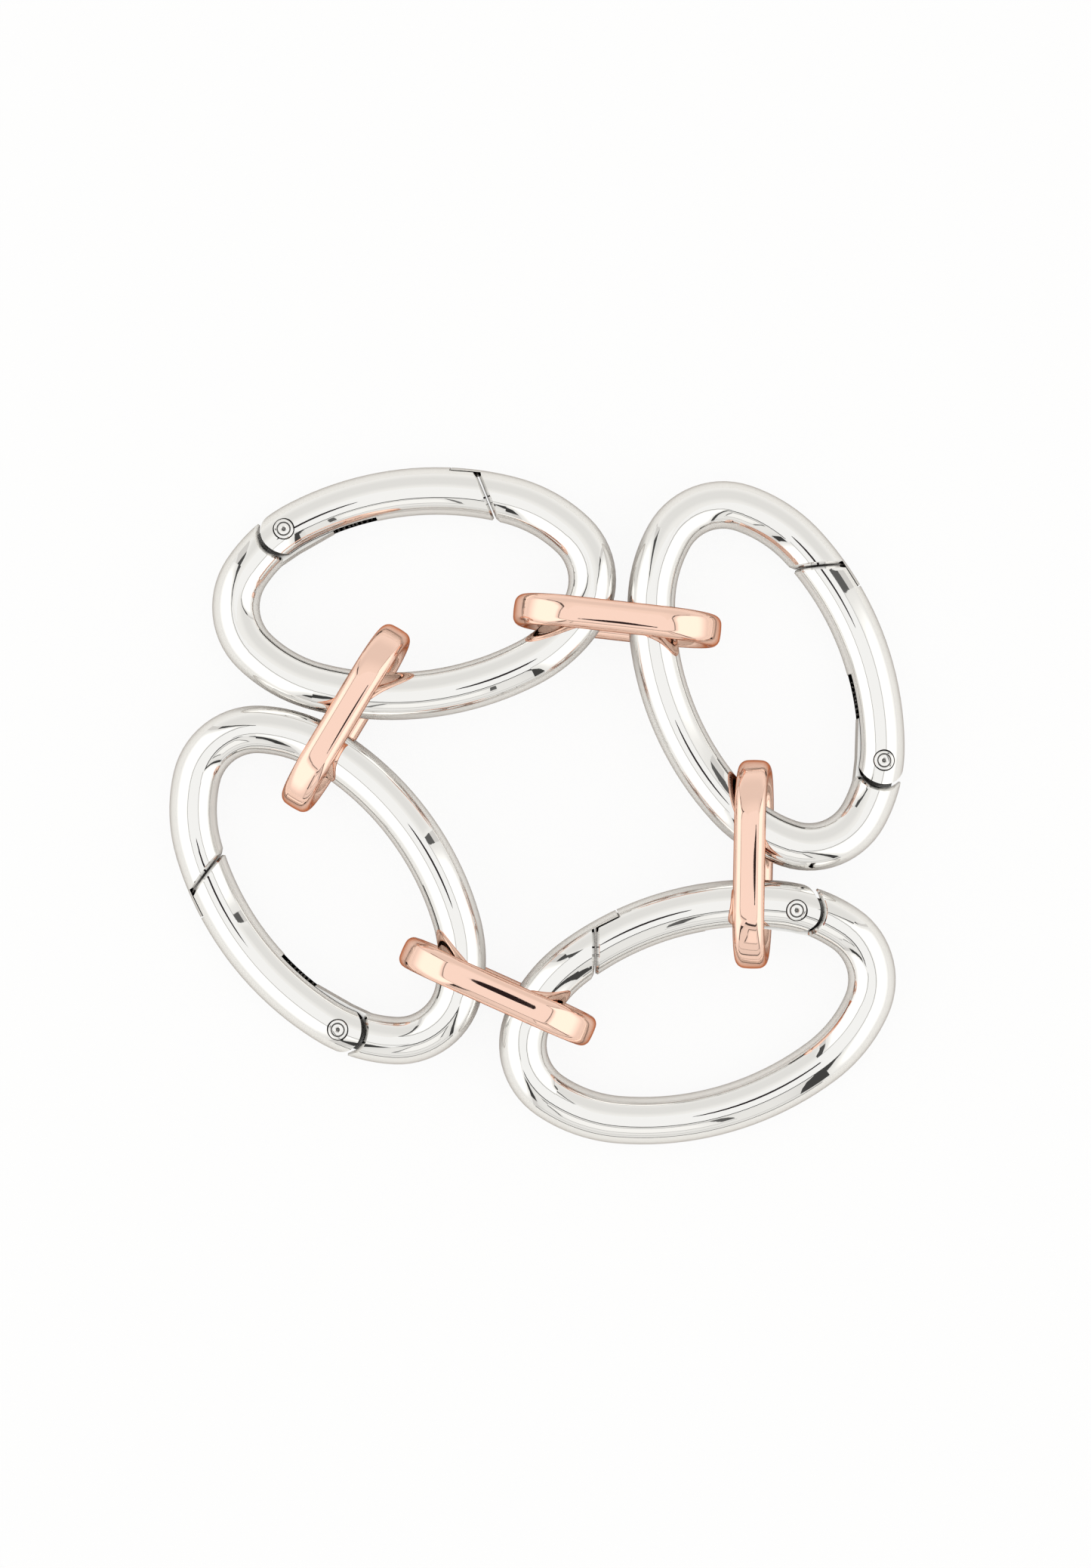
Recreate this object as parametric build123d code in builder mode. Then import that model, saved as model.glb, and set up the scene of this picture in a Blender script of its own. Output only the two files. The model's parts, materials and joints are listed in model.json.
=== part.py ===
from build123d import *
from math import acos, asin, atan, atan2, copysign, cos, degrees, hypot, radians, sin, sqrt, tan
import os

# A closed chain of four oval spring-gate rings, joined by four obround links.
# Millimetres, +Z up. The chain lies on the plane Z = 0 as it would on a table: each link
# stands on its lower bar, and each ring lies over two of those bars with its far side down.

# Ring: the oval is the centreline of its round rod
rod_diameter = 5.0
oval_length = 37.7
oval_width = 21.6
# How its arcs follow the ellipse of that size: shares of the ellipse's flattest curve and of
# its sharpest, and of the mean of the two for the shoulders between them
flat_share = 0.942
end_share = 1.083
shoulder_share = 1.04
# Gate
pivot_inset = 6.05  # from one end of the oval
latch_inset = 10.25  # from the other
latch_slant = 32.0  # degrees from square across the rod
latch_gap = 0.2
latch_chamfer = 0.3
lip_length = 2.4
lip_thickness = 0.45
lip_gap = 0.15
heel_gap = 0.35
shoulder_chamfer = 0.4
gate_opening = 20.0
# Slot in the gate, and the frame's tongue inside it
slot_length = 9.2
slot_bend = 1.2  # from the pivot to where the roof starts to follow the rod
slot_roof = 0.8  # wall left over the slot
tongue_side_gap = 0.15
tongue_edge_gap = 0.15
tongue_proud = 0.1  # of the inner side of the rod
nose_length = 4.2
nose_step = 2.9
nose_thickness = 1.8
nose_slope = 14.0
step_gap = 0.2  # over the nose's step, with the gate open
# Rivet, fast in the gate and free in the tongue
pin_diameter = 1.6
pin_clearance = 0.05
head_diameter = 2.3
head_height = 0.45
head_inset = 0.05
groove_radius = 0.68
groove_width = 0.2
groove_depth = 0.12
dimple_radius = 0.35
dimple_depth = 0.25
head_edge = 0.1
# Gate spring
spring_diameter = 1.5
spring_wire = 0.28
spring_turns = 6
spring_inset = 1.0  # of its near end, from the inner side of the rod
spring_slant = 9.0
spring_end_gap = 0.1
spring_roof_gap = 0.15
spring_side_gap = 0.25
# Link, which holds two rods side by side
link_width = 3.3
link_band = 2.1
link_edge = 0.6
link_play = 8.2  # left along its inside by the two rods
link_headroom = 1.2  # left over a rod
seat_gap = 0.2  # between a rod and the bar that it lies over
rod_slope = 5.0  # the steepest that a rod crosses a bar

# How the rings and links lie, going round the chain. A ring's heading is its oval's long way,
# with its gate on the left, and a flipped ring lies on its other face. Its seats are where its
# two links hang, by the way its rod faces there, from its heading.
rings = {
    "a": dict(heading=6.2, flipped=False, seats=dict(da=-102.5, ab=-40.3)),
    "b": dict(heading=-68.7, flipped=True, seats=dict(ab=-107.5, bc=-55.4)),
    "c": dict(heading=15.8, flipped=True, seats=dict(bc=73.8, cd=135.3)),
    "d": dict(heading=127.1, flipped=False, seats=dict(cd=-133.3, da=-68.1)),
}
# A link's heading is from the ring before it to the ring after it. It leans to the left of
# that, and lies that far forward on its two rods. The last two links close the loop, so the
# space between their rods follows from the rest.
links = {
    "ab": dict(heading=-6.4, lean=4.0, forward=0.1, rods_apart=2.55),
    "bc": dict(heading=-91.0, lean=-8.0, forward=-0.05, rods_apart=3.1),
    "cd": dict(heading=155.9, lean=0.0, forward=0.0),
    "da": dict(heading=59.0, lean=4.0, forward=0.5),
}

rod = rod_diameter / 2
half_length = oval_length / 2
half_width = oval_width / 2
pivot_reach = half_length - pivot_inset
latch_reach = half_length - latch_inset
beyond = rod + 1  # clears the rod on every side
far_beyond = 4 * beyond

# The oval's arcs, by their slope: how far a point's outward facing lies from straight across.
# The centres of the flat, shoulder and end arcs make a triangle.
flat_radius = flat_share * half_length**2 / half_width
end_radius = end_share * half_width**2 / half_length
shoulder_radius = shoulder_share * sqrt(flat_radius * end_radius)
flat_centre = half_width - flat_radius
flat_step = flat_radius - shoulder_radius
end_step = shoulder_radius - end_radius
apart = hypot(half_length - end_radius, flat_centre)
bearing = degrees(atan2(half_length - end_radius, -flat_centre))
flat_part = degrees(acos((flat_step**2 + apart**2 - end_step**2) / (2 * flat_step * apart)))
end_part = degrees(acos((end_step**2 + apart**2 - flat_step**2) / (2 * end_step * apart)))
flat_slope = bearing - flat_part
shoulder_slope = bearing + end_part
shoulder_out = flat_step * sin(radians(flat_slope))
shoulder_up = flat_centre + flat_step * cos(radians(flat_slope))
# A quarter of the oval: the centre and radius of each arc, and the slope where it ends
quarter = (
    ((0, flat_centre), flat_radius, flat_slope),
    ((shoulder_out, shoulder_up), shoulder_radius, shoulder_slope),
    ((half_length - end_radius, 0), end_radius, 90),
)


def oval_arc(facing):
    # Centre and radius of the arc whose outward side looks that way
    out, up = cos(radians(facing)), sin(radians(facing))
    slope = degrees(acos(min(abs(up), 1)))
    centre, radius = next(arc[:2] for arc in quarter if slope <= arc[2])
    return Vector(copysign(1, out) * centre[0], copysign(1, up) * centre[1]), radius


def oval_point(facing):
    centre, radius = oval_arc(facing)
    return centre + Vector(radius, 0).rotate(Axis.Z, facing)


def facing_at(reach):
    # The facing of the upper side's point that far along the oval from its middle
    for centre, radius, last_slope in quarter:
        slope = degrees(asin(min((abs(reach) - centre[0]) / radius, 1)))
        if slope <= last_slope:
            return 90 - copysign(slope, reach)


def draw_oval(first, last):
    # The oval's arcs from one facing to another, anticlockwise
    tops = [90 + 180 * half_turn for half_turn in range(-1, 4)]
    slopes = (-shoulder_slope, -flat_slope, flat_slope, shoulder_slope)
    joints = [top + slope for top in tops for slope in slopes]
    stops = [first] + sorted(joint for joint in joints if first < joint < last) + [last]
    for start, stop in zip(stops, stops[1:]):
        centre, radius = oval_arc((start + stop) / 2)
        CenterArc(centre, radius, start, stop - start)


pivot_facing = facing_at(-pivot_reach)
latch_facing = facing_at(latch_reach)
# Both planes have their x along the gate and their y out of the oval
pivot_way = Vector(0, -1).rotate(Axis.Z, pivot_facing)
latch_way = Vector(0, 1).rotate(Axis.Z, latch_facing)
pivot_plane = Plane(oval_point(pivot_facing), x_dir=pivot_way, z_dir=(0, 0, 1))
latch_plane = Plane(oval_point(latch_facing), x_dir=latch_way, z_dir=(0, 0, -1))
latch_curve = oval_arc(latch_facing)[1]
# Rod drawn past each joint, in degrees, and cut back to it
latch_run = degrees(2 * beyond / latch_curve)
heel_run = degrees(beyond / oval_arc(pivot_facing)[1])

lip_root = rod - lip_thickness
lip_tip = rod * tan(radians(latch_slant)) + lip_length
lip_drop = lip_tip**2 / (2 * latch_curve)

spring_drop = rod - spring_inset
slot_width = spring_diameter + 2 * spring_side_gap
slot_floor = rod - slot_roof
slot_end = -spring_drop - (slot_length - nose_length) * tan(radians(spring_slant))
slot_end += spring_diameter / 2 + spring_roof_gap

link_length = 2 * (link_band + rod_diameter) + link_play
link_height = 2 * link_band + rod_diameter + seat_gap + link_headroom


def open_roof(x):
    # The slot's roof with the gate wide open, seen from the frame
    near = Vector(slot_bend, slot_floor).rotate(Axis.Z, -gate_opening)
    far = Vector(slot_length, slot_end).rotate(Axis.Z, -gate_opening)
    return near.Y + (x - near.X) * (far.Y - near.Y) / (far.X - near.X)


def slanted(y, gap):
    # A point of a latch face, gap from the middle of the latch
    return (y * tan(radians(latch_slant)) + gap / cos(radians(latch_slant)), y)


def ease_latch(piece):
    # Chamfer round the slanted face of the latch
    face = piece.faces().filter_by(GeomType.PLANE).sort_by_distance(latch_plane.origin)[0]
    round_edges = face.edges().filter_by(GeomType.LINE, reverse=True)
    chamfer(round_edges, latch_chamfer)


def ring_frame():
    with BuildPart() as frame:
        with BuildLine() as rod_line:
            draw_oval(pivot_facing, 360 + latch_facing + latch_run)
        with BuildSketch(Plane(rod_line.line @ 0, z_dir=rod_line.line % 0)):
            Circle(rod)
        sweep(path=rod_line.line)
        # Latch face, with the lip over it
        with BuildSketch(latch_plane):
            Polygon(
                slanted(-beyond, -latch_gap / 2),
                slanted(lip_root, -latch_gap / 2),
                (lip_tip, lip_root - lip_drop),
                (lip_tip, beyond),
                (far_beyond, beyond),
                (far_beyond, -beyond),
                align=None,
            )
        extrude(amount=beyond, both=True, mode=Mode.SUBTRACT)
        ease_latch(frame)
        # Hollow shoulder round the gate's heel
        with BuildSketch(pivot_plane):
            Circle(rod + heel_gap)
        extrude(amount=beyond, both=True, mode=Mode.SUBTRACT)
        hollow = frame.faces().sort_by_distance(pivot_plane.origin)[0]
        chamfer(hollow.edges(), shoulder_chamfer)
        # Tongue: a web from the shoulder, the boss on the pivot and the nose that stops the gate
        boss = slot_floor - tongue_edge_gap
        step_top = open_roof(nose_step) - step_gap
        tip_top = open_roof(nose_length) - tongue_edge_gap
        root = -rod - heel_gap - slot_roof
        with BuildSketch(pivot_plane):
            Polygon(
                (root, -rod - tongue_proud),
                (0, -rod - tongue_proud),
                (nose_length, tip_top - nose_thickness),
                (nose_length, tip_top),
                (nose_step, tip_top + (nose_length - nose_step) * tan(radians(nose_slope))),
                (nose_step, step_top),
                (0, boss),
                (root, boss - heel_gap),
                align=None,
            )
            Circle(boss)
            Circle(pin_diameter / 2 + pin_clearance, mode=Mode.SUBTRACT)
        extrude(amount=slot_width / 2 - tongue_side_gap, both=True)
    return frame.part


def ring_gate():
    with BuildPart() as gate:
        with BuildLine() as rod_line:
            draw_oval(latch_facing - latch_run, pivot_facing + heel_run)
        with BuildSketch(Plane(rod_line.line @ 0, z_dir=rod_line.line % 0)):
            Circle(rod)
        sweep(path=rod_line.line)
        # Heel, round about the pivot
        with BuildSketch(pivot_plane):
            with Locations((-far_beyond / 2, 0)):
                Rectangle(far_beyond, 2 * beyond)
            Circle(rod, mode=Mode.SUBTRACT)
        extrude(amount=beyond, both=True, mode=Mode.SUBTRACT)
        # Latch face, relieved for the lip
        with BuildSketch(latch_plane):
            Polygon(
                slanted(-beyond, latch_gap / 2),
                slanted(lip_root - lip_gap, latch_gap / 2),
                (lip_tip + lip_gap, lip_root - lip_drop - lip_gap),
                (lip_tip + lip_gap, beyond),
                (-far_beyond, beyond),
                (-far_beyond, -beyond),
                align=None,
            )
        extrude(amount=beyond, both=True, mode=Mode.SUBTRACT)
        ease_latch(gate)
        # Slot for the tongue and the spring, open to the inside of the oval
        slope = tan(radians(spring_slant))
        with BuildSketch(pivot_plane):
            Polygon(
                (-beyond, slot_floor),
                (slot_bend, slot_floor),
                (slot_length, slot_end),
                (slot_length - beyond * slope, slot_end - beyond),
                (-beyond, slot_end - beyond),
                align=None,
            )
        extrude(amount=slot_width / 2, both=True, mode=Mode.SUBTRACT)
        # Rivet hole and the seats of its two heads
        with BuildSketch(pivot_plane):
            Circle(pin_diameter / 2)
        extrude(amount=beyond, both=True, mode=Mode.SUBTRACT)
        seat = rod - head_inset - head_height
        with BuildSketch(pivot_plane.offset(seat), pivot_plane.offset(-beyond)):
            Circle(head_diameter / 2)
        extrude(amount=beyond - seat, mode=Mode.SUBTRACT)
    return gate.part


def ring_rivet():
    profile_plane = Plane(pivot_plane.origin, x_dir=(1, 0, 0), z_dir=(0, -1, 0))
    top = rod - head_inset
    seat = top - head_height
    head = head_diameter / 2
    with BuildPart() as rivet:
        with BuildSketch(profile_plane):
            Polygon(
                (0, 0),
                (pin_diameter / 2, 0),
                (pin_diameter / 2, seat),
                (head, seat),
                (head, top - head_edge),
                (head - head_edge, top),
                (groove_radius + groove_width / 2, top),
                (groove_radius, top - groove_depth),
                (groove_radius - groove_width / 2, top),
                (dimple_radius, top),
                (0, top - dimple_depth),
                align=None,
            )
        revolve(axis=Axis(profile_plane.origin, (0, 0, 1)))
        mirror(about=Plane.XY)
    return rivet.part


def ring_spring():
    coil = spring_diameter / 2 - spring_wire / 2
    way = Vector(cos(radians(spring_slant)), -sin(radians(spring_slant)))
    near = nose_length + spring_end_gap + spring_wire / 2
    length = (slot_length - near) / way.X - spring_end_gap - spring_wire
    start = pivot_plane.from_local_coords(Vector(near, -spring_drop))
    end = pivot_plane.from_local_coords(Vector(near, -spring_drop) + way * length)
    with BuildPart() as spring:
        with BuildLine():
            wire_line = Helix(
                pitch=length / spring_turns,
                height=length,
                radius=coil,
                center=start,
                direction=end - start,
            )
        with BuildSketch(Plane(wire_line @ 0, z_dir=wire_line % 0)):
            Rectangle(spring_wire, spring_wire)
        sweep(path=wire_line, is_frenet=True)
    return spring.part


def obround_link():
    with BuildPart() as link:
        with BuildSketch(Plane.XZ):
            SlotOverall(link_length, link_height)
            SlotOverall(link_length - 2 * link_band, link_height - 2 * link_band, mode=Mode.SUBTRACT)
        extrude(amount=link_width / 2, both=True)
        fillet(link.edges().filter_by(Plane.XZ), link_edge)
    return link.part


def heading_of(place):
    return Vector(1, 0).rotate(Axis.Z, place["heading"])


def from_middle(ring, facing):
    # In plan, from a ring's middle to the point of its oval that faces that way
    return oval_point(facing).rotate(Axis.Z, ring["heading"])


def plan_chain():
    # The middle of each ring and link, in plan
    steps = {}
    for (ring_name, ring), (link_name, link) in zip(rings.items(), links.items()):
        first, second = [from_middle(ring, facing) for facing in ring["seats"].values()]
        steps[ring_name] = second - first
        steps[link_name] = Vector()
        if "rods_apart" in link:
            steps[link_name] = heading_of(link) * (rod_diameter + link["rods_apart"])
    rest = -sum(steps.values(), Vector())
    third_way, last_way = heading_of(links["cd"]), heading_of(links["da"])
    turn = third_way.cross(last_way).Z
    steps["cd"] = third_way * (rest.cross(last_way).Z / turn)
    steps["da"] = last_way * (third_way.cross(rest).Z / turn)

    plan = {}
    place = Vector()
    for (ring_name, ring), (link_name, link) in zip(rings.items(), links.items()):
        plan[ring_name] = place - from_middle(ring, list(ring["seats"].values())[0])
        place += steps[ring_name]
        plan[link_name] = place + steps[link_name] / 2 + heading_of(link) * link["forward"]
        place += steps[link_name]
    return plan


def link_middle(link):
    # Height of a link's middle with its lower bar on the table
    lean = radians(abs(link["lean"]))
    flat_height = link_height / 2 - link_edge
    flat_width = link_width / 2 - link_edge
    return flat_height * cos(lean) + flat_width * sin(lean) + link_edge


def seat_height(link):
    # Height of the middle of a rod over a link's lower bar
    lean = radians(abs(link["lean"]))
    bar_top = link_middle(link) - (link_height / 2 - link_band) * cos(lean)
    high_side = link_width / 2 * (sin(lean) + sin(radians(rod_slope)))
    return bar_top + high_side + seat_gap + rod


def height_on(plane, point):
    # Height of a plane over a point of the table
    normal = plane.z_dir
    from_origin = plane.origin - point
    return plane.origin.Z + (from_origin.X * normal.X + from_origin.Y * normal.Y) / normal.Z


def seats_of(ring_name, plan):
    ring = rings[ring_name]
    return [
        plan[ring_name] + from_middle(ring, facing) + Vector(0, 0, seat_height(links[link_name]))
        for link_name, facing in ring["seats"].items()
    ]


def lay_ring(piece, ring_name, plan):
    # Level across its two seats, then tipped about them until its far side meets the table
    ring = rings[ring_name]
    first, second = seats_of(ring_name, plan)
    line = Axis(first, second - first)
    outward = Vector(0, 0, 1).cross(line.direction).normalized()
    level = Plane(first, x_dir=line.direction, z_dir=line.direction.cross(outward))
    far_facing = degrees(atan2(outward.Y, outward.X)) - ring["heading"]
    far = plan[ring_name] + from_middle(ring, far_facing)
    reach = (far - first).dot(outward)
    tip = atan((height_on(level, far) - rod) / reach)

    facing = -1 if ring["flipped"] else 1
    middle = plan[ring_name] + Vector(0, 0, height_on(level, plan[ring_name]))
    place = Plane(middle, x_dir=heading_of(ring) * facing, z_dir=level.z_dir * facing)
    return piece.moved(place.location).rotate(line, -degrees(tip))


def lay_link(piece, link_name, plan):
    link = links[link_name]
    middle = plan[link_name] + Vector(0, 0, link_middle(link))
    place = Plane(middle, x_dir=heading_of(link), z_dir=(0, 0, 1))
    return piece.moved(place.location).rotate(Axis(middle, heading_of(link)), -link["lean"])


def lay_out():
    # Every piece where it lies, by name
    plan = plan_chain()
    ring_pieces = {
        "frame": ring_frame(),
        "gate": ring_gate(),
        "rivet": ring_rivet(),
        "spring": ring_spring(),
    }
    link_piece = obround_link()
    pieces = {}
    for ring_name in rings:
        for piece_name, piece in ring_pieces.items():
            pieces[f"ring_{ring_name}_{piece_name}"] = lay_ring(piece, ring_name, plan)
    for link_name in links:
        pieces[f"link_{link_name}"] = lay_link(link_piece, link_name, plan)
    return pieces


def to_origin(pieces):
    # From the layout's own zero to the middle of the chain, on the table
    box = Compound(children=[piece.moved(Location()) for piece in pieces.values()]).bounding_box()
    return Location((-box.center().X, -box.center().Y, -box.min.Z))


if __name__ == "__main__":
    os.makedirs("parts", exist_ok=True)
    chain = lay_out()
    origin = to_origin(chain)
    for name, piece in chain.items():
        piece = piece.moved(origin)
        piece.label = name
        export_step(piece, f"parts/{name}.step")
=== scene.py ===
import json
import math

import bpy
import numpy as np
from mathutils import Matrix, Vector


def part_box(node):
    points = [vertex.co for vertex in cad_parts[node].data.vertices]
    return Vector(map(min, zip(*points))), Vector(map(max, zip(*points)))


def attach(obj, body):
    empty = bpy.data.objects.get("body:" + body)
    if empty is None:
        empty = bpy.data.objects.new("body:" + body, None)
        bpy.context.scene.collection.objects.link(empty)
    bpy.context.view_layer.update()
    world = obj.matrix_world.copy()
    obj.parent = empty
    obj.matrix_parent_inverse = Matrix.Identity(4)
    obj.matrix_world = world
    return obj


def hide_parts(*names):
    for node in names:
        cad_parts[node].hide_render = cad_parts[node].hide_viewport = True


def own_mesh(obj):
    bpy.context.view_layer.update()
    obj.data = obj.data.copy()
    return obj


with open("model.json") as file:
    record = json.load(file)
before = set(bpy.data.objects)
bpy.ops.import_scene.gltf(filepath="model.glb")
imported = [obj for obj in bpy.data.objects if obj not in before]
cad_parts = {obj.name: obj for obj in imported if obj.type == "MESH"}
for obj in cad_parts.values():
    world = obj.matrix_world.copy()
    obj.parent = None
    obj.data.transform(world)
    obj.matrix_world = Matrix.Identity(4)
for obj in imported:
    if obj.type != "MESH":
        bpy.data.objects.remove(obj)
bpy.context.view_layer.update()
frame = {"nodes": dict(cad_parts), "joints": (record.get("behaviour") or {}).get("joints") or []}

mm = 0.001  # metres
scene = bpy.context.scene
scene.view_settings.view_transform = "Standard"
print("Frame loaded:", len(frame["nodes"]), "parts")


# Small helpers

def linearColour(hexValue):
    # sRGB hex to the linear colour that shaders take
    parts = [int(hexValue[start:start + 2], 16) / 255 for start in (1, 3, 5)]
    return [part / 12.92 if part <= 0.04045 else ((part + 0.055) / 1.055) ** 2.4
            for part in parts] + [1.0]


def addNode(tree, kind, inputs=None, **settings):
    # A node with its settings; an input is a value or the socket that feeds it
    node = tree.nodes.new(kind)
    for name, value in settings.items():
        setattr(node, name, value)
    for name, value in (inputs or {}).items():
        if isinstance(value, bpy.types.NodeSocket):
            tree.links.new(value, node.inputs[name])
        else:
            node.inputs[name].default_value = value
    return node


def newMaterial(name):
    material = bpy.data.materials.new(name)
    material.use_nodes = True
    material.node_tree.nodes.clear()
    return material, material.node_tree


def meshObject(name, points, faces, material=None, smooth=False):
    mesh = bpy.data.meshes.new(name)
    mesh.from_pydata([tuple(p) for p in points], [], faces)
    mesh.update()
    mesh.polygons.foreach_set("use_smooth", [smooth] * len(mesh.polygons))
    if material:
        mesh.materials.append(material)
    piece = bpy.data.objects.new(name, mesh)
    scene.collection.objects.link(piece)
    return piece


def gridFaces(rows, columns, closeRows=False, closeColumns=True):
    # Quads over rows of points, each row with that many columns; closed, the last meets the first
    faces = []
    for row in range(rows if closeRows else rows - 1):
        for column in range(columns if closeColumns else columns - 1):
            nextRow = (row + 1) % rows
            nextColumn = (column + 1) % columns
            corners = ((row, column), (row, nextColumn), (nextRow, nextColumn), (nextRow, column))
            faces.append([cornerRow * columns + cornerColumn for cornerRow, cornerColumn in corners])
    return faces


def takePlace(piece, body, node):
    # The piece moves with its body and stands in for the model's own node
    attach(piece, body)
    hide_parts(node)


def nodePoints(name):
    return np.array([v.co for v in frame["nodes"][name].data.vertices])


jointByName = {joint["name"]: joint for joint in frame["joints"]}


# Metals: polished zinc castings under bright plate

rhodiumLook = dict(
    colour="#F4F3F1",
    edgeColour="#D2CECB",  # seen along the surface
    # colour of old polish and of painted shade where the surface is closed in
    grimeAndShadeColour="#1B1918",
    roughness=0.012,
    hazeRoughness=0.03,  # where handling has dulled it
    waveLength=2.6,  # mm, of the hollows that hand polishing leaves
    waveHeight=0.0016,  # mm
    peelLength=0.35,  # mm, grain of the plate
    peelHeight=0.0001,
    pitSpacing=3.2,  # mm
    pitSize=0.12,
    pitDepth=0.01,
    grimeAndShadeReach=0.6,  # mm, how far the ambient occlusion reaches for the old polish and the painted shade
)

roseGoldLook = dict(
    colour="#FCD7C5",
    edgeColour="#CC8664",
    # colour of old polish and of painted brown shade where the surface is closed in
    grimeAndShadeColour="#5A3122",
    roughness=0.03,
    hazeRoughness=0.06,
    waveLength=2.8,
    waveHeight=0.004,
    peelLength=0.35,
    peelHeight=0.0003,
    pitSpacing=3.6,
    pitSize=0.14,
    pitDepth=0.012,
    # reaches further, so painted shade darkens the links' inner sides near the ring rods
    grimeAndShadeReach=1.4,
)

plateWear = dict(
    pitFloor=0.25,  # share of a pit's size that is its flat floor, and where its rim ends
    pitRim=0.5,
    grimeAndShadeFull=0.45,  # openness at which the grime and painted shade cover all, and at which they are gone
    grimeAndShadeNone=0.9,
    grimeAndShadeSamples=4,
    hazeLength=5.0,  # mm, of the patches
    hazeFrom=0.45,
    hazeTo=0.75,
)


def brightPlate(name, look):
    material, tree = newMaterial(name)
    place = addNode(tree, "ShaderNodeTexCoord").outputs["Object"]

    def noise(length, detail):
        return addNode(tree, "ShaderNodeTexNoise", {
            "Vector": place, "Scale": 1 / (length * mm), "Detail": detail, "Roughness": 0.5,
        }).outputs["Fac"]

    # The polisher's hollows, the grain of the plate and a few pits
    cells = addNode(tree, "ShaderNodeTexVoronoi", {
        "Vector": place, "Scale": 1 / (look["pitSpacing"] * mm),
    })
    pits = addNode(tree, "ShaderNodeMapRange", {
        "Value": cells.outputs["Distance"],
        "From Min": plateWear["pitFloor"] * look["pitSize"] / look["pitSpacing"],
        "From Max": plateWear["pitRim"] * look["pitSize"] / look["pitSpacing"],
        "To Min": 0.0, "To Max": 1.0,
    }, interpolation_type="SMOOTHSTEP").outputs["Result"]
    reliefs = (
        (noise(look["waveLength"], 1.0), look["waveHeight"]),
        (noise(look["peelLength"], 2.0), look["peelHeight"]),
        (pits, look["pitDepth"]),
    )
    relief = None
    for height, size in reliefs:
        inputs = {"Height": height, "Distance": size * mm, "Strength": 1.0}
        if relief:
            inputs["Normal"] = relief
        relief = addNode(tree, "ShaderNodeBump", inputs).outputs["Normal"]

    # Darker where ambient occlusion finds the surface closed in: partly old polish left in the
    # joints, partly painted shade in gaps and hollows
    openness = addNode(tree, "ShaderNodeAmbientOcclusion", {
        "Distance": look["grimeAndShadeReach"] * mm,
    }, samples=plateWear["grimeAndShadeSamples"]).outputs["AO"]
    cleanAndLit = addNode(tree, "ShaderNodeMapRange", {
        "Value": openness, "From Min": plateWear["grimeAndShadeFull"], "From Max": plateWear["grimeAndShadeNone"],
        "To Min": 0.0, "To Max": 1.0,
    }, interpolation_type="SMOOTHSTEP").outputs["Result"]
    # Painted shade and grime: the colour mixes towards the dark colour where occlusion is high
    colour = addNode(tree, "ShaderNodeMix", {
        0: cleanAndLit, 6: linearColour(look["grimeAndShadeColour"]), 7: linearColour(look["colour"]),
    }, data_type="RGBA").outputs[2]
    haze = addNode(tree, "ShaderNodeMapRange", {
        "Value": noise(plateWear["hazeLength"], 3.0),
        "From Min": plateWear["hazeFrom"], "From Max": plateWear["hazeTo"],
        "To Min": look["roughness"], "To Max": look["hazeRoughness"],
    }).outputs["Result"]
    shader = addNode(tree, "ShaderNodeBsdfPrincipled", {
        "Base Color": colour, "Specular Tint": linearColour(look["edgeColour"]),
        "Metallic": 1.0, "Roughness": haze, "Normal": relief,
    })
    addNode(tree, "ShaderNodeOutputMaterial", {"Surface": shader.outputs["BSDF"]})
    return material


# Rhodium over polished zinc: almost white, mirror bright, faintly rippled
rhodiumPlate = brightPlate("rhodiumPlate", rhodiumLook)
# Rose gold over the same casting: pale copper where it is bright, brown where it mirrors itself and
# where painted shade darkens its hollows
roseGoldPlate = brightPlate("roseGoldPlate", roseGoldLook)


springLook = dict(
    colour="#4E4C4B",
    roughness=0.24,
    drawLength=0.05,  # mm, of the marks from the die
    drawHeight=0.0006,
)


def drawnWire(look):
    # Spring steel, drawn through a die: grey with fine streaks that soften its highlight
    material, tree = newMaterial("drawnSpringSteel")
    place = addNode(tree, "ShaderNodeTexCoord").outputs["Object"]
    streaks = addNode(tree, "ShaderNodeTexNoise", {
        "Vector": place, "Scale": 1 / (look["drawLength"] * mm), "Detail": 2.0,
    }).outputs["Fac"]
    bump = addNode(tree, "ShaderNodeBump", {"Height": streaks, "Distance": look["drawHeight"] * mm})
    shader = addNode(tree, "ShaderNodeBsdfPrincipled", {
        "Base Color": linearColour(look["colour"]), "Metallic": 1.0,
        "Roughness": look["roughness"], "Normal": bump.outputs["Normal"],
    })
    addNode(tree, "ShaderNodeOutputMaterial", {"Surface": shader.outputs["BSDF"]})
    return material


springSteel = drawnWire(springLook)
print("Materials made")


# Rings: the machined frame and gate come from the model, with the plate on them

for ringName in "abcd":
    for part in ("frame", "gate"):
        frame["nodes"][f"ring_{ringName}_{part}"].material_slots[0].material = rhodiumPlate


# Rivets: a headed pin, pressed and ground nearly flush, with a turned groove and a centre mark

rivetShape = dict(
    headRadius=1.06,  # mm, as all sizes here
    headEdge=0.12,
    crown=0.05,
    grooveRadius=0.68,
    grooveWidth=0.2,
    grooveDepth=0.12,
    dimpleRadius=0.35,
    dimpleDepth=0.25,
    pinRadius=0.8,
    headHeight=0.45,
    faceSteps=60,
    edgeSteps=7,
    steps=96,
    sharpAngle=50,
)


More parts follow.
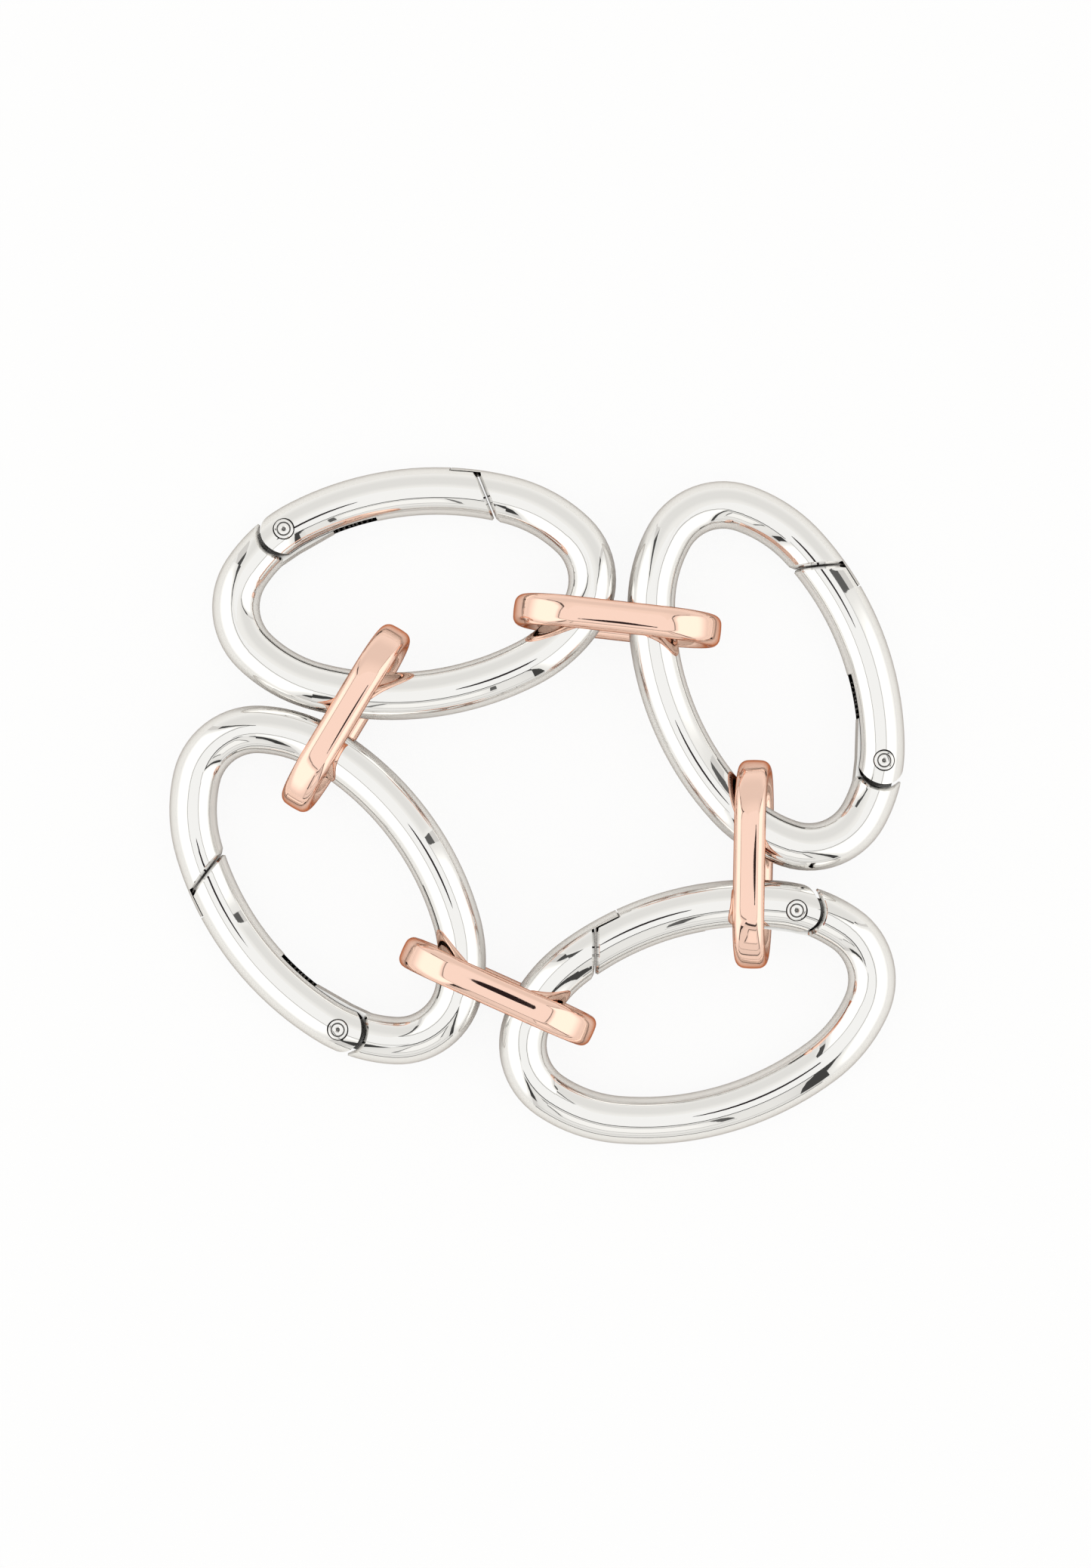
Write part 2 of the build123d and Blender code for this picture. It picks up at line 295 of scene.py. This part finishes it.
def rivetProfile(shape, top):
    # Radius and height of the upper half, from the middle of the head to the middle of the pin
    profile = []
    edge = shape["headEdge"]
    for radius in np.linspace(0, shape["headRadius"] - edge, shape["faceSteps"]):
        height = top - shape["crown"] * (radius / shape["headRadius"]) ** 2
        inwards = radius / shape["dimpleRadius"]
        if inwards < 1:
            height -= shape["dimpleDepth"] * 0.5 * (1 + math.cos(math.pi * inwards))
        across = abs(radius - shape["grooveRadius"]) / (shape["grooveWidth"] / 2)
        if across < 1:
            height -= shape["grooveDepth"] * 0.5 * (1 + math.cos(math.pi * across))
        profile.append((radius, height))
    edgeTop = profile[-1][1]
    for turn in np.linspace(0, math.pi / 2, shape["edgeSteps"])[1:]:
        profile.append((shape["headRadius"] - edge + edge * math.sin(turn),
                        edgeTop - edge + edge * math.cos(turn)))
    seat = top - shape["headHeight"]
    profile += [(shape["headRadius"], seat), (shape["pinRadius"], seat), (shape["pinRadius"], 0)]
    return profile


def makeRivet(ringName):
    node = f"ring_{ringName}_rivet"
    gateJoint = jointByName[f"gate_{ringName}_open"]
    centre, axis = Vector(gateJoint["pos_m"]), Vector(gateJoint["axis"])
    turnPlace = Matrix.Translation(centre) @ axis.to_track_quat("Z", "X").to_matrix().to_4x4()
    heights = (nodePoints(node) - np.array(centre)) @ np.array(axis)
    upper = rivetProfile(rivetShape, heights.max() / mm)
    profile = upper + [(radius, -height) for radius, height in reversed(upper[:-1])]
    steps = rivetShape["steps"]
    points = []
    for radius, height in profile[1:-1]:
        for step in range(steps):
            turn = 2 * math.pi * step / steps
            points.append(Vector((radius * math.cos(turn), radius * math.sin(turn), height)) * mm)
    rows = len(profile) - 2
    faces = gridFaces(rows, steps)
    for tip, row in ((profile[0], 0), (profile[-1], rows - 1)):
        points.append(Vector((0, 0, tip[1])) * mm)
        ring = [row * steps + step for step in range(steps)]
        for first, second in zip(ring, ring[1:] + ring[:1]):
            if row:
                first, second = second, first
            faces.append([len(points) - 1, first, second])
    places = [turnPlace @ point for point in points]
    rivet = meshObject(f"rivet_{ringName}", places, faces, rhodiumPlate, smooth=True)
    rivet.data.set_sharp_from_angle(angle=math.radians(rivetShape["sharpAngle"]))
    takePlace(rivet, f"gate_{ringName}", node)


for ringName in "abcd":
    makeRivet(ringName)
print("Rivets made")


# Gate springs: round drawn wire, its turns a little closer at the ends and in the middle

springShape = dict(
    wire=0.28,  # mm
    turns=9,
    unevenness=0.02,
    stepsPerTurn=32,
    wireSteps=12,
    keep=0.72,  # share of the real spring's length that is left with the gate open
)


def longAxis(points):
    # The middle of a long piece and its long way
    middle = points.mean(0)
    return middle, np.linalg.svd(points - middle, full_matrices=False)[2][0]


def makeSpring(ringName):
    node = f"ring_{ringName}_spring"
    points = nodePoints(node)
    middle, way = longAxis(points)
    pivot = np.array(jointByName[f"gate_{ringName}_open"]["pos_m"])
    if (middle - pivot) @ way < 0:
        way = -way
    along = (points - middle) @ way
    outwards = points - middle - np.outer(along, way)
    wire = springShape["wire"] / 2
    radius = np.linalg.norm(outwards, axis=1).max() / mm - wire
    start, end = along.min() / mm + wire, along.max() / mm - wire
    side = Vector(way).orthogonal().normalized()
    other = Vector(way).cross(side)
    count = springShape["turns"] * springShape["stepsPerTurn"]
    line = []
    for step in range(count + 1):
        turn = 2 * math.pi * step / springShape["stepsPerTurn"]
        share = step / count
        eased = share - math.sin(4 * math.pi * share) * springShape["unevenness"]
        spot = Vector(middle) + Vector(way) * ((start + (end - start) * eased) * mm)
        line.append(spot + (side * math.cos(turn) + other * math.sin(turn)) * (radius * mm))
    wireSteps = springShape["wireSteps"]
    wirePoints = []
    for index, spot in enumerate(line):
        forward = (line[min(index + 1, count)] - line[max(index - 1, 0)]).normalized()
        out = (spot - Vector(middle)) - Vector(way) * (spot - Vector(middle)).dot(Vector(way))
        out = (out - forward * out.dot(forward)).normalized()
        up = forward.cross(out)
        for step in range(wireSteps):
            turn = 2 * math.pi * step / wireSteps
            wirePoints.append(spot + (out * math.cos(turn) + up * math.sin(turn)) * (wire * mm))
    faces = gridFaces(count + 1, wireSteps)
    faces.append(list(reversed(range(wireSteps))))
    faces.append([count * wireSteps + step for step in range(wireSteps)])
    spring = meshObject(f"spring_{ringName}", wirePoints, faces, springSteel, smooth=True)
    takePlace(spring, f"gate_{ringName}", node)
    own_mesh(spring)


for ringName in "abcd":
    makeSpring(ringName)
print("Springs coiled")


# Links: a cast obround band with a crowned outside, its edges rolled over by tumbling

linkShape = dict(
    length=21.9,  # mm, as all sizes here
    height=10.6,
    width=3.3,
    band=2.1,
    insideLength=18.2,
    endReach=6.9,  # the outside ends are half ellipses, which reach this far past the straight
    edgeRadius=0.8,
    outerCrown=0.17,
    sideCrown=0.05,
    lengthCrown=0.06,
    cornerSteps=10,
    faceSteps=14,
    endSteps=72,
    runSteps=40,
)


def bandSection(shape):
    # Across the band: outwards and sideways, anticlockwise
    halfBand, halfWidth, radius = shape["band"] / 2, shape["width"] / 2, shape["edgeRadius"]
    section = []
    corners = ((1, 1, 0), (-1, 1, 90), (-1, -1, 180), (1, -1, 270))
    for outSign, sideSign, startTurn in corners:
        centre = np.array([outSign * (halfBand - radius), sideSign * (halfWidth - radius)])
        arc = []
        for step in range(shape["cornerSteps"] + 1):
            turn = math.radians(startTurn + 90 * step / shape["cornerSteps"])
            arc.append(centre + radius * np.array([math.cos(turn), math.sin(turn)]))
        if section:
            for share in np.linspace(0, 1, shape["faceSteps"])[1:-1]:
                section.append(previous * (1 - share) + arc[0] * share)
        section += arc
        previous = arc[-1]
    for share in np.linspace(0, 1, shape["faceSteps"])[1:-1]:
        section.append(previous * (1 - share) + section[0] * share)
    crowned = []
    for out, side in section:
        out -= math.copysign(shape["outerCrown"] * (side / halfWidth) ** 2, out)
        side -= math.copysign(shape["sideCrown"] * (out / halfBand) ** 2, side)
        crowned.append((out, side))
    return crowned


def bandPath(shape):
    # Middle of the band, along and up, and the step outwards from there for each mm of the section
    halfBand, halfHeight = shape["band"] / 2, shape["height"] / 2
    outerRun, innerRadius = shape["length"] / 2 - shape["endReach"], halfHeight - shape["band"]
    innerRun = shape["insideLength"] / 2 - innerRadius
    spots = []
    for share in np.linspace(0, 1, shape["runSteps"] // 2, endpoint=False):
        crowned = halfHeight - shape["lengthCrown"] * share ** 2
        spots.append((outerRun * share, crowned, innerRun * share, innerRadius))
    reach, rise = shape["endReach"], halfHeight - shape["lengthCrown"]
    for turn in np.radians(np.linspace(0, 90, shape["endSteps"] // 2 + 1)):
        across, upward = math.sin(turn), math.cos(turn)
        size = math.hypot(reach * across, rise * upward)
        spots.append((outerRun + reach ** 2 * across / size, rise ** 2 * upward / size,
                      innerRun + innerRadius * across, innerRadius * upward))
    quarter = [(np.array(spot[:2]), np.array(spot[2:])) for spot in spots]
    path = []
    for mirror, order in (((1, 1), 1), ((1, -1), -1), ((-1, -1), 1), ((-1, 1), -1)):
        run = [((outer + inner) / 2 * mirror, (outer - inner) / 2 / halfBand * mirror)
               for outer, inner in quarter[::order]]
        path += run[:-1]
    return path


flatSearch = dict(upright=0.7, sameWay=0.99999, every=9)


def broadNormal(node, lying):
    # The way that a link's flat sides face, or with lying its flat bars: the normal with most area
    normals = np.array([face.normal for face in node.data.polygons])
    areas = np.array([face.area for face in node.data.polygons])
    rise = normals[:, 2]
    fits = rise > flatSearch["upright"] if lying else np.abs(rise) < flatSearch["upright"]
    normals, areas = normals[fits], areas[fits]
    shared = []
    for normal in normals[::flatSearch["every"]]:
        alike = np.abs(normals @ normal) > flatSearch["sameWay"]
        shared.append((areas[alike].sum(), tuple(normal)))
    return Vector(max(shared)[1]).normalized()


def makeLink(linkName):
    node = f"link_{linkName}"
    low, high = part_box(node)
    side = broadNormal(frame["nodes"][node], lying=False)
    up = broadNormal(frame["nodes"][node], lying=True)
    along = side.cross(up).normalized()
    middle = (low + high) / 2
    section, path = bandSection(linkShape), bandPath(linkShape)
    points = []
    for place, outward in path:
        for out, sideways in section:
            alongPlace, upPlace = place + outward * out
            points.append(middle + (along * alongPlace + up * upPlace + side * sideways) * mm)
    faces = gridFaces(len(path), len(section), closeRows=True)
    link = meshObject(f"link_{linkName}_band", points, faces, roseGoldPlate, smooth=True)
    takePlace(link, node, node)


for linkName in ("ab", "bc", "cd", "da"):
    makeLink(linkName)
print("Links made")


# Studio: a white table in a tent of pale cloth, with a softbox on the left and one on the right

studioLook = dict(
    wall="#DAD8D5",
    ceiling="#FEFEFD",
    cloth="#FFFEFB",
    tableColour="#F6F5F3",
    wallTop=0.62,  # how high, from 0 to 1, the wall begins to fade into the ceiling
    ceilingFoot=0.86,
    tableSize=6,  # metres
    tableWhite=0.9,  # how far the camera sees the table as plain white
    tableGlossWhite=0.02,  # and how far the metal does
    grainLength=0.4,  # mm
    grainHeight=0.01,
    grainStrength=0.3,
    distance=0.7,  # metres, as are the gaps
    layerGap=0.01,  # each patch of the tent hangs this much nearer than the one before
    darkGap=0.06,  # and the dark edges and poles this much nearer than the first
    patchStep=1.5,  # degrees
)

tentParts = dict(
    # azimuth from and to, zenith angle from and to, brightness in the middle and at the edges,
    # width of the soft edge at the sides, top and foot
    wallNorth=(34, 134, 20, 91, 0.82, 0.95, 2, 22, 30),
    softboxLeft=(139, 238, 28, 91, 1.36, 0.88, 9, 6, 28),
    softboxRight=(304, 391, 28, 91, 1.36, 0.88, 9, 6, 28),
    cardSouth=(243, 301, 33, 91, 0.88, 0.80, 6, 6, 20),
    hatch=(257, 288, 39, 61, 1.02, 0.9, 3, 3, 3),
)

darkParts = dict(
    # azimuth from and to, zenith angle from and to, brightness
    edgeLeft=(137, 240, 26.4, 27.9, 0.3),
    edgeRight=(302, 393, 26.4, 27.9, 0.3),
    edgeSouth=(242, 304, 30, 33, 0.06),
    poleNorthEast=(391, 394, 28, 60, 0.12),
    poleNorthWest=(134, 138.5, 26, 60, 0.08),
    poleSouthWest=(238, 243.5, 37, 64, 0.05),
    poleSouthEast=(300, 304.5, 31, 80, 0.06),
    hatchTop=(256, 290, 37.5, 39, 0.25),
    hatchLeft=(255.5, 257, 38, 60, 0.2),
    hatchRight=(288, 290, 38, 56, 0.12),
    hatchFoot=(255.5, 290, 61, 62.5, 0.45),
    hem=(243, 301, 75, 76.5, 0.5),
    skirting=(240, 304, 87, 91, 0.12),
)


def studioWorld(look):
    # Pale room behind the tent; the camera sees it white
    world = bpy.data.worlds.new("studio")
    scene.world = world
    world.use_nodes = True
    tree = world.node_tree
    tree.nodes.clear()
    way = addNode(tree, "ShaderNodeTexCoord").outputs["Generated"]
    height = addNode(tree, "ShaderNodeSeparateXYZ", {"Vector": way}).outputs["Z"]
    ramp = addNode(tree, "ShaderNodeValToRGB", {"Fac": height})
    stops = ((look["wallTop"], look["wall"]), (look["ceilingFoot"], look["ceiling"]))
    for element, (position, colour) in zip(ramp.color_ramp.elements, stops):
        element.position = position
        element.color = linearColour(colour)
    seen = addNode(tree, "ShaderNodeLightPath").outputs["Is Camera Ray"]
    room = addNode(tree, "ShaderNodeBackground", {"Color": ramp.outputs["Color"], "Strength": 1.0})
    white = addNode(tree, "ShaderNodeBackground", {"Color": (1, 1, 1, 1), "Strength": 1.0})
    both = addNode(tree, "ShaderNodeMixShader", {0: seen, 1: room.outputs[0], 2: white.outputs[0]})
    addNode(tree, "ShaderNodeOutputWorld", {"Surface": both.outputs[0]})


def litCloth(look):
    # Tent cloth with lamps behind it: its glow is set point by point
    material, tree = newMaterial("litCloth")
    glow = addNode(tree, "ShaderNodeAttribute", attribute_name="glow").outputs["Fac"]
    light = addNode(tree, "ShaderNodeEmission", {
        "Color": linearColour(look["cloth"]), "Strength": glow,
    })
    addNode(tree, "ShaderNodeOutputMaterial", {"Surface": light.outputs[0]})
    return material


def glowing(name, hexValue):
    material, tree = newMaterial(name)
    light = addNode(tree, "ShaderNodeEmission", {"Color": linearColour(hexValue), "Strength": 1.0})
    addNode(tree, "ShaderNodeOutputMaterial", {"Surface": light.outputs[0]})
    return material


def softStep(value):
    value = np.clip(value, 0, 1)
    return value * value * (3 - 2 * value)


def tentPatch(name, azimuths, zeniths, distance, glowRange, softEdges, material):
    # Part of the tent, between two azimuths and two zenith angles, with a soft and rounded edge
    middleGlow, edgeGlow = glowRange
    columns = max(2, int((azimuths[1] - azimuths[0]) / studioLook["patchStep"])) + 1
    rows = max(2, int((zeniths[1] - zeniths[0]) / studioLook["patchStep"])) + 1
    points, glows = [], []
    for zenith in np.linspace(*zeniths, rows):
        for azimuth in np.linspace(*azimuths, columns):
            turn, tilt = math.radians(azimuth), math.radians(zenith)
            level = math.sin(tilt)
            way = Vector((math.cos(turn) * level, math.sin(turn) * level, math.cos(tilt)))
            points.append(way * distance)
            share = 1
            if softEdges:
                share = softStep(min(azimuth - azimuths[0], azimuths[1] - azimuth) / softEdges[0])
                share *= softStep((zenith - zeniths[0]) / softEdges[1])
                share *= softStep((zeniths[1] - zenith) / softEdges[2])
            glows.append(edgeGlow + (middleGlow - edgeGlow) * share)
    patch = meshObject(name, points, gridFaces(rows, columns, closeColumns=False), material)
    patch.data.attributes.new("glow", "FLOAT", "POINT").data.foreach_set("value", glows)
    patch.visible_camera = False


def tableSurface(look):
    # Matt white board: plain, with a faint grain
    material, tree = newMaterial("whiteBoard")
    place = addNode(tree, "ShaderNodeTexCoord").outputs["Object"]
    grain = addNode(tree, "ShaderNodeTexNoise", {
        "Vector": place, "Scale": 1 / (look["grainLength"] * mm), "Detail": 2.0,
    })
    bump = addNode(tree, "ShaderNodeBump", {
        "Height": grain.outputs["Fac"], "Distance": look["grainHeight"] * mm,
        "Strength": look["grainStrength"],
    })
    board = addNode(tree, "ShaderNodeBsdfDiffuse", {
        "Color": linearColour(look["tableColour"]), "Normal": bump.outputs["Normal"],
    })
    rays = addNode(tree, "ShaderNodeLightPath").outputs
    byMetal = addNode(tree, "ShaderNodeMath", {
        0: rays["Is Glossy Ray"], 1: look["tableGlossWhite"],
    }, operation="MULTIPLY")
    share = addNode(tree, "ShaderNodeMath", {
        0: rays["Is Camera Ray"], 1: look["tableWhite"], 2: byMetal.outputs[0],
    }, operation="MULTIPLY_ADD")
    white = addNode(tree, "ShaderNodeEmission", {"Color": (1, 1, 1, 1), "Strength": 1.0})
    total = addNode(tree, "ShaderNodeMixShader", {
        0: share.outputs[0], 1: board.outputs[0], 2: white.outputs[0],
    })
    addNode(tree, "ShaderNodeOutputMaterial", {"Surface": total.outputs[0]})
    return material


studioWorld(studioLook)
halfTable = studioLook["tableSize"] / 2
tableCorners = [(along * halfTable, across * halfTable, 0)
                for along, across in ((-1, -1), (1, -1), (1, 1), (-1, 1))]
table = meshObject("table", tableCorners, [[0, 1, 2, 3]], tableSurface(studioLook))
tentCloth = litCloth(studioLook)
for index, (name, numbers) in enumerate(tentParts.items()):
    away = studioLook["distance"] - studioLook["layerGap"] * index
    tentPatch(name, numbers[:2], numbers[2:4], away, numbers[4:6], numbers[6:], tentCloth)
for name, numbers in darkParts.items():
    away = studioLook["distance"] - studioLook["darkGap"]
    tentPatch(name, numbers[:2], numbers[2:4], away, numbers[4:] * 2, None, tentCloth)


# Camera: straight above; its black lens is what makes the dark streaks on the flats

# Metres, but the sensor in mm
cameraLook = dict(height=0.55, fieldHeight=0.1661, centre=(0.0009, 0.0023), sensor=36)
lensLook = dict(radius=0.04, place=(0.012, -0.014, 0.56), colour="#2A2426", corners=48)

lensBlack = glowing("lensBlack", lensLook["colour"])
lensRing = []
for turn in np.linspace(0, 2 * math.pi, lensLook["corners"], endpoint=False):
    way = Vector((math.cos(turn), math.sin(turn), 0))
    lensRing.append(Vector(lensLook["place"]) + way * lensLook["radius"])
lensBody = meshObject("lensBody", lensRing, [list(range(lensLook["corners"]))], lensBlack)
lensBody.visible_camera = False
cameraData = bpy.data.cameras.new("camera")
cameraData.sensor_width = cameraLook["sensor"]
cameraData.lens = cameraLook["sensor"] * cameraLook["height"] / cameraLook["fieldHeight"]
camera = bpy.data.objects.new("camera", cameraData)
camera.location = (*cameraLook["centre"], cameraLook["height"])
scene.collection.objects.link(camera)
scene.camera = camera
print("Studio set")
